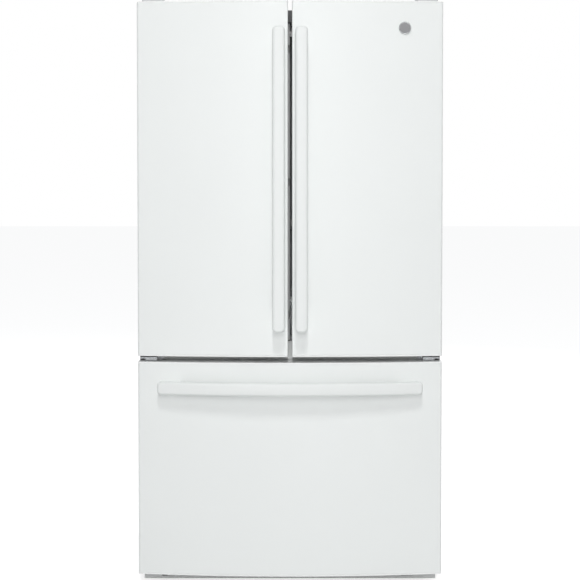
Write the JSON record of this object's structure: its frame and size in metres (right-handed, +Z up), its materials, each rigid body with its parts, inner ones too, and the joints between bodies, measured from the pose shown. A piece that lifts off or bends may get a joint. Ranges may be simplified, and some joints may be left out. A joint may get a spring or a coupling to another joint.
{
  "type": "french door refrigerator",
  "caption": "White refrigerator with two bowed side-hinged doors over a bowed pull-out freezer drawer, bar handles, shelves, bins and a rear machine room.",
  "frame": {"origin": "on the floor, under the middle of the refrigerator's bounding box", "axes": "+Z up, doors and drawer face -Y, +X to the right of someone facing the doors"},
  "size_m": [0.908, 0.933, 1.775],
  "materials": {
    "case_paint": "satin",
    "door_paint": "gloss",
    "handle_white": "gloss",
    "zinc_sheet": "satin",
    "insulation": "matte",
    "liner_plastic": "satin",
    "grey_plastic": "matte",
    "gasket_rubber": "matte",
    "hinge_steel": "satin",
    "dark_steel": "satin",
    "clear_plastic": "gloss",
    "shelf_glass": "polished",
    "badge_metal": "brushed",
    "pump_black": "gloss",
    "copper": "satin",
    "fin_aluminium": "satin",
    "roller_nylon": "matte"
  },
  "bodies": {
    "cabinet": {"case_wrapper": "case_paint", "rear_panels": "zinc_sheet", "cabinet_foam": "insulation", "fresh_food_liner": "liner_plastic", "freezer_liner": "liner_plastic", "center_rail": "case_paint", "base_frame": "dark_steel", "door_hinges": "hinge_steel", "hinge_covers": "grey_plastic", "cabinet_screws": "hinge_steel", "mullion_guide": "grey_plastic", "control_housing": "grey_plastic", "air_tower": "liner_plastic", "shelf_frames": "liner_plastic", "shelf_glass": "shelf_glass", "crisper_frame": "liner_plastic", "fixed_rails": "hinge_steel", "freezer_back": "liner_plastic", "evaporator": "fin_aluminium", "ice_maker": "grey_plastic", "compressor": "pump_black", "condenser": "dark_steel", "drain_pan": "roller_nylon", "refrigerant_lines": "copper"},
    "left_door": {"left_door_panel": "door_paint", "left_door_foam": "insulation", "left_door_liner": "liner_plastic", "left_door_gasket": "gasket_rubber", "left_door_handle": "handle_white", "left_door_bins": "clear_plastic", "mullion_hinges": "hinge_steel"},
    "mullion": {"flip_mullion": "grey_plastic"},
    "right_door": {"right_door_panel": "door_paint", "right_door_foam": "insulation", "right_door_liner": "liner_plastic", "right_door_gasket": "gasket_rubber", "right_door_handle": "handle_white", "right_door_bins": "clear_plastic", "badge_disc": "badge_metal"},
    "dairy_lid": {"dairy_lid": "clear_plastic"},
    "freezer_drawer": {"drawer_panel": "door_paint", "drawer_foam": "insulation", "drawer_liner": "liner_plastic", "drawer_gasket": "gasket_rubber", "drawer_handle": "handle_white", "drawer_frame": "hinge_steel", "lower_basket": "clear_plastic"},
    "slide_middles": {"middle_rails": "hinge_steel"},
    "upper_basket": {"upper_basket": "liner_plastic"},
    "crisper_left": {"crisper_left": "clear_plastic"},
    "crisper_right": {"crisper_right": "clear_plastic"},
    "deli_drawer": {"deli_drawer": "clear_plastic"},
    "slide_shelf": {"slide_shelf": "shelf_glass"},
    "evaporator_fan": {"evaporator_fan": "grey_plastic"},
    "condenser_fan": {"condenser_fan": "grey_plastic"},
    "left_foot": {"left_foot": "dark_steel"},
    "right_foot": {"right_foot": "dark_steel"},
    "rear_rollers": {"rear_rollers": "roller_nylon"},
    "ice_rake": {"ice_rake": "grey_plastic"},
    "water_filter": {"water_filter": "liner_plastic"}
  },
  "joints": [
    {"name": "left_door_hinge", "type": "hinge", "parent": "cabinet", "child": "left_door", "pos_m": [-0.43, -0.3315, 0.701], "axis": [0, 0, -1], "range_deg": [0, 130]},
    {"name": "mullion_fold", "type": "hinge", "parent": "left_door", "child": "mullion", "pos_m": [-0.01136, -0.2675, 1.2], "axis": [0, 0, -1], "range_deg": [0, 102]},
    {"name": "right_door_hinge", "type": "hinge", "parent": "cabinet", "child": "right_door", "pos_m": [0.43, -0.3315, 0.701], "axis": [0, 0, 1], "range_deg": [0, 130]},
    {"name": "dairy_lid_hinge", "type": "hinge", "parent": "right_door", "child": "dairy_lid", "pos_m": [0.22, -0.2815, 1.55325], "axis": [1, 0, 0], "range_deg": [0, 85]},
    {"name": "freezer_drawer_slide", "type": "slide", "parent": "cabinet", "child": "freezer_drawer", "axis": [0, -1, 0], "range_m": [0, 0.4]},
    {"name": "slide_middle_travel", "type": "slide", "parent": "cabinet", "child": "slide_middles", "axis": [0, -1, 0], "range_m": [0, 0.2]},
    {"name": "upper_basket_slide", "type": "slide", "parent": "freezer_drawer", "child": "upper_basket", "axis": [0, 1, 0], "range_m": [0, 0.22]},
    {"name": "crisper_left_slide", "type": "slide", "parent": "cabinet", "child": "crisper_left", "axis": [0, -1, 0], "range_m": [0, 0.12]},
    {"name": "crisper_right_slide", "type": "slide", "parent": "cabinet", "child": "crisper_right", "axis": [0, -1, 0], "range_m": [0, 0.12]},
    {"name": "deli_drawer_slide", "type": "slide", "parent": "cabinet", "child": "deli_drawer", "axis": [0, -1, 0], "range_m": [0, 0.12]},
    {"name": "half_shelf_slide", "type": "slide", "parent": "cabinet", "child": "slide_shelf", "axis": [0, 1, 0], "range_m": [0, 0.2]},
    {"name": "evaporator_fan_spin", "type": "hinge", "parent": "cabinet", "child": "evaporator_fan", "pos_m": [0, 0.3615, 0.57325], "axis": [0, 1, 0], "continuous": true},
    {"name": "condenser_fan_spin", "type": "hinge", "parent": "cabinet", "child": "condenser_fan", "pos_m": [-0.044, 0.3365, 0.153], "axis": [1, 0, 0], "continuous": true},
    {"name": "left_foot_turn", "type": "hinge", "parent": "cabinet", "child": "left_foot", "pos_m": [-0.4, -0.2255, 0.01], "axis": [0, 0, 1], "continuous": true},
    {"name": "right_foot_turn", "type": "hinge", "parent": "cabinet", "child": "right_foot", "pos_m": [0.4, -0.2255, 0.01], "axis": [0, 0, 1], "continuous": true},
    {"name": "rear_roller_spin", "type": "hinge", "parent": "cabinet", "child": "rear_rollers", "pos_m": [0, 0.4145, 0.018], "axis": [1, 0, 0], "continuous": true},
    {"name": "ice_rake_turn", "type": "hinge", "parent": "cabinet", "child": "ice_rake", "pos_m": [-0.245, 0.04, 0.62225], "axis": [0, 1, 0], "continuous": true},
    {"name": "water_filter_turn", "type": "hinge", "parent": "cabinet", "child": "water_filter", "pos_m": [0.21, 0, 1.674], "axis": [0, 1, 0], "range_deg": [0, 90]}
  ],
  "couplings": [
    {"joint": "slide_middle_travel", "follows": "freezer_drawer_slide", "ratio": 0.5}
  ]
}
